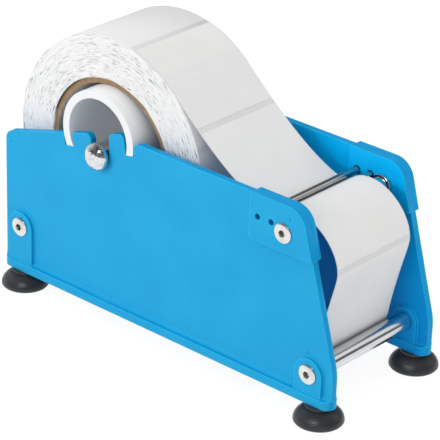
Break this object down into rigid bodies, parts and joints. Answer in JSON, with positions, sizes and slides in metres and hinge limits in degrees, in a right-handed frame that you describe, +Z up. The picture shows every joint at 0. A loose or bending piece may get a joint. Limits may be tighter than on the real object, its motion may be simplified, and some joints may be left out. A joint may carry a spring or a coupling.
{
  "type": "bench label dispenser",
  "caption": "Bench label dispenser with two moulded side panels on tie rods, a lift-out arch and axle for a label roll, and a threaded web.",
  "frame": {"origin": "on the bench, under the middle of the four feet and halfway between the side panels", "axes": "+X to the front, where the labels come off; +Y to the left-hand panel; +Z up"},
  "size_m": [0.2332, 0.103, 0.1569],
  "materials": {
    "blue_plastic": "moulded plastic, satin",
    "white_plastic": "smooth white tube, sawn ends",
    "bright_steel": "bright drawn steel bar",
    "zinc_steel": "zinc-plated steel",
    "chrome": "polished chrome plate",
    "kraft_board": "wound kraft board",
    "label_paper": "coated white label paper",
    "backing_paper": "glazed release paper",
    "black_rubber": "moulded black rubber"
  },
  "bodies": {
    "frame": {"right_side_panel": "blue_plastic", "left_side_panel": "blue_plastic", "rear_tie_rod": "bright_steel", "front_lower_tie_rod": "bright_steel", "front_upper_tie_rod": "bright_steel", "upper_rod_washers": "zinc_steel", "rear_rod_screws": "zinc_steel", "front_lower_rod_screws": "zinc_steel", "front_upper_rod_screws": "zinc_steel", "backing_web": "backing_paper", "web_labels": "label_paper", "foot_front_right": "black_rubber", "foot_front_left": "black_rubber", "foot_rear_right": "black_rubber", "foot_rear_left": "black_rubber", "foot_studs": "zinc_steel"},
    "arch": {"roll_arch": "white_plastic"},
    "roll": {"roll_core": "kraft_board", "label_roll": "label_paper"},
    "axle": {"axle_bar": "bright_steel", "axle_cap_right": "chrome", "axle_cap_left": "chrome"},
    "guide": {"guide_rod": "bright_steel"},
    "deflector": {"deflector_rod": "bright_steel"}
  },
  "joints": [
    {"name": "arch_lift", "type": "slide", "parent": "frame", "child": "arch", "axis": [-0.1822, 0, 0.9833], "range_m": [0, 0.012], "deforming": ["backing_web", "web_labels"]},
    {"name": "roll_turn", "type": "hinge", "parent": "arch", "child": "roll", "pos_m": [-0.0482, 0, 0.0927], "axis": [0, 1, 0], "continuous": true},
    {"name": "axle_lift", "type": "slide", "parent": "frame", "child": "axle", "axis": [0, 0, 1], "range_m": [0, 0.019]},
    {"name": "guide_turn", "type": "hinge", "parent": "frame", "child": "guide", "pos_m": [0.0623, 0, 0.0989], "axis": [0, 1, 0], "continuous": true},
    {"name": "deflector_turn", "type": "hinge", "parent": "frame", "child": "deflector", "pos_m": [0.071, 0, 0.0989], "axis": [0, 1, 0], "continuous": true}
  ]
}
